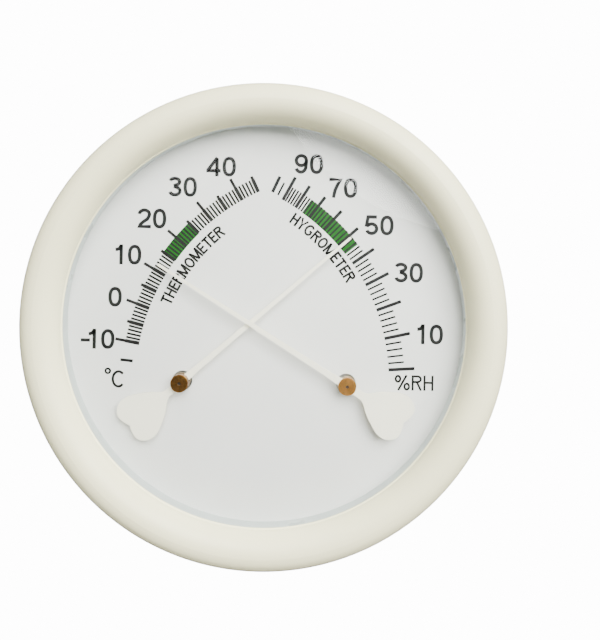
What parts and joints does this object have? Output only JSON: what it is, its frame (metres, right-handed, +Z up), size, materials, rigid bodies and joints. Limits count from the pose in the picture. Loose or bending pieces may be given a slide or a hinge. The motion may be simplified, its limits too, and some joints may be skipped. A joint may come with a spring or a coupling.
{
  "type": "wall thermometer and hygrometer",
  "caption": "Round wall instrument with two long pointers over one dial, for air temperature and relative humidity.",
  "frame": {"origin": "centre of the flat back, on the wall plane", "axes": "+Z up, the dial faces -Y, +Y points into the wall"},
  "size_m": [0.2312, 0.036, 0.2312],
  "materials": {
    "case_plastic": "fine matt moulded ABS",
    "bezel_plastic": "satin moulded cream ABS",
    "window_clear": "clear flat pane",
    "dial_white": "matt light grey-white",
    "zinc_steel": "zinc plated",
    "bracket_steel": "stamped and plated",
    "brass": "turned",
    "bright_brass": "turned, bright",
    "golden_brass": "turned, satin",
    "dark_bronze": "turned, darkened",
    "pointer_cream": "cream white lacquer",
    "bimetal": "rolled strip",
    "humidity_strip": "coated strip"
  },
  "bodies": {
    "case": {"rear_case": "case_plastic", "front_bezel": "bezel_plastic", "window": "window_clear", "dial_plate": "dial_white", "dial_ring": "dial_white", "case_screws": "zinc_steel", "hygrometer_bracket": "bracket_steel", "hygrometer_bridge": "bracket_steel", "hygrometer_pillars": "brass", "hygrometer_movement_screws": "zinc_steel", "hygrometer_front_bush": "brass", "hygrometer_rear_bush": "brass", "hygrometer_coil_anchor": "brass", "hygrometer_coil": "humidity_strip", "thermometer_bracket": "bracket_steel", "thermometer_bridge": "bracket_steel", "thermometer_pillars": "brass", "thermometer_movement_screws": "zinc_steel", "thermometer_front_bush": "brass", "thermometer_rear_bush": "brass", "thermometer_coil_anchor": "brass", "thermometer_coil": "bimetal"},
    "hygrometer_pointer": {"hygrometer_arbor": "zinc_steel", "hygrometer_collar": "bright_brass", "hygrometer_pointer": "pointer_cream", "hygrometer_hub_cap": "dark_bronze"},
    "thermometer_pointer": {"thermometer_arbor": "zinc_steel", "thermometer_collar": "bright_brass", "thermometer_pointer": "pointer_cream", "thermometer_hub_cap": "golden_brass"}
  },
  "joints": [
    {"name": "thermometer_turn", "type": "hinge", "parent": "case", "child": "thermometer_pointer", "pos_m": [0.0405, -0.0216, -0.0287], "axis": [0, 1, 0], "range_deg": [-26.9, 32.7], "stiffness_Nm_per_rad": 0.004},
    {"name": "hygrometer_turn", "type": "hinge", "parent": "case", "child": "hygrometer_pointer", "pos_m": [-0.0405, -0.0196, -0.0287], "axis": [0, -1, 0], "range_deg": [-37.4, 24.1], "stiffness_Nm_per_rad": 0.004}
  ]
}
